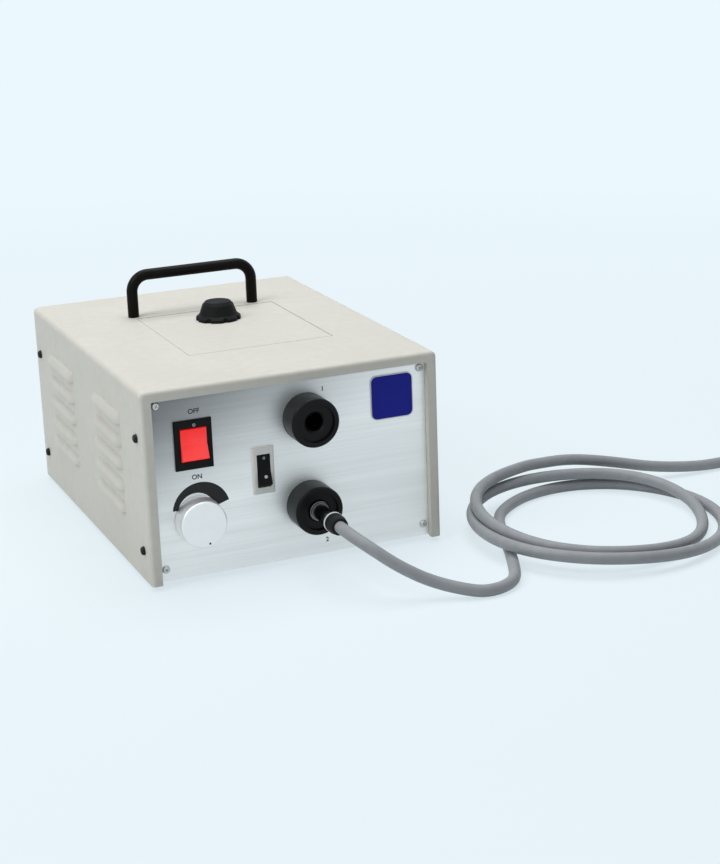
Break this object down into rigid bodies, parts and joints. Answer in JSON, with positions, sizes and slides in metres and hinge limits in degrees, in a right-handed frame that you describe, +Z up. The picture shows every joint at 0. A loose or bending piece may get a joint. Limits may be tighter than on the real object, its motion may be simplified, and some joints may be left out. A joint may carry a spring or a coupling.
{
  "type": "fiber optic illuminator",
  "caption": "Bench light source in a folded steel case with lamp ports, an intensity knob, rocker switches, a top hatch, a carrying handle and a coiled light guide.",
  "frame": {"origin": "on the table under the middle of the case's bounding box, without the light guide", "axes": "+X to the right seen from the front panel, +Y from the front panel to the rear, +Z up"},
  "size_m": [0.5806, 0.4011, 0.167],
  "materials": {
    "painted_steel": "fine textured light grey paint",
    "zinc_steel": "zinc plated sheet",
    "panel_aluminium": "brushed",
    "black_plastic": "moulded black",
    "black_gloss": "gloss black",
    "black_metal": "black, satin",
    "black_screw": "black oxide",
    "screw_steel": "plated",
    "red_lens": "translucent red, lit",
    "pale_plastic": "moulded pale grey",
    "knob_silver": "silver-white lacquer",
    "rubber": "black",
    "glass": "clear",
    "reflector": "dichroic mirror",
    "ceramic": "unglazed",
    "core_steel": "laminated, varnished",
    "winding": "yellow tape over copper",
    "board": "glass epoxy, green",
    "sink": "extruded",
    "brass": "machined",
    "chrome": "polished",
    "guide_sheath": "smooth blue-grey sheath"
  },
  "bodies": {
    "case": {"cover": "painted_steel", "cover_screws": "black_screw", "chassis": "zinc_steel", "front_panel": "panel_aluminium", "panel_screws": "screw_steel", "feet": "rubber", "foot_screws": "screw_steel", "handle": "black_metal", "handle_screws": "screw_steel", "power_switch_frame": "black_plastic", "selector_frame": "pale_plastic", "potentiometer": "screw_steel", "pot_nut": "screw_steel", "port_socket_1": "black_gloss", "port_socket_2": "black_gloss", "port_nuts": "brass", "heat_filters": "glass", "lamp_bracket": "zinc_steel", "lamp_1": "reflector", "lamp_2": "reflector", "lamp_capsules": "glass", "lamp_sockets": "ceramic", "transformer_core": "core_steel", "transformer_coil": "winding", "transformer_clamp": "zinc_steel", "transformer_screws": "screw_steel", "control_board": "board", "board_standoffs": "brass", "board_heatsink": "sink", "board_components": "black_plastic", "fan_frame": "black_plastic", "fan_guard": "chrome", "fan_screws": "screw_steel", "mains_inlet": "black_plastic", "inlet_screws": "screw_steel", "fuse_holder": "black_plastic", "guide_plug": "chrome", "guide_collar": "rubber", "guide_lead": "guide_sheath", "guide_coil": "guide_sheath", "guide_tail": "guide_sheath", "guide_end_sleeve": "rubber", "guide_end_ferrule": "chrome"},
    "power_rocker": {"power_rocker": "red_lens"},
    "selector_rocker": {"selector_rocker": "black_plastic"},
    "dial": {"intensity_knob": "knob_silver", "pot_shaft": "brass"},
    "hatch": {"hatch_lid": "painted_steel"},
    "latch": {"latch_knob": "black_plastic", "latch_cam": "zinc_steel"},
    "fan_rotor": {"fan_rotor": "black_plastic"},
    "fuse_cap": {"fuse_cap": "black_plastic"}
  },
  "joints": [
    {"name": "power_rocker_tilt", "type": "hinge", "parent": "case", "child": "power_rocker", "pos_m": [-0.068, -0.1243, 0.0934], "axis": [1, 0, 0], "range_deg": [0, 20]},
    {"name": "selector_rocker_tilt", "type": "hinge", "parent": "case", "child": "selector_rocker", "pos_m": [-0.0217, -0.1243, 0.0686], "axis": [1, 0, 0], "range_deg": [0, 20]},
    {"name": "intensity_turn", "type": "hinge", "parent": "case", "child": "dial", "pos_m": [-0.0675, -0.1255, 0.0423], "axis": [0, 1, 0], "range_deg": [0, 270]},
    {"name": "hatch_lift", "type": "hinge", "parent": "case", "child": "hatch", "pos_m": [0.0065, -0.0571, 0.1324], "axis": [1, 0, 0], "range_deg": [0, 75]},
    {"name": "latch_turn", "type": "hinge", "parent": "hatch", "child": "latch", "pos_m": [0.0065, 0.0325, 0.13], "axis": [0, 0, -1], "range_deg": [0, 90]},
    {"name": "fan_spin", "type": "hinge", "parent": "case", "child": "fan_rotor", "pos_m": [0.01, 0.1195, 0.07], "axis": [0, 1, 0], "continuous": true},
    {"name": "fuse_cap_turn", "type": "hinge", "parent": "case", "child": "fuse_cap", "pos_m": [-0.068, 0.1395, 0.072], "axis": [0, 1, 0], "range_deg": [0, 45]}
  ]
}
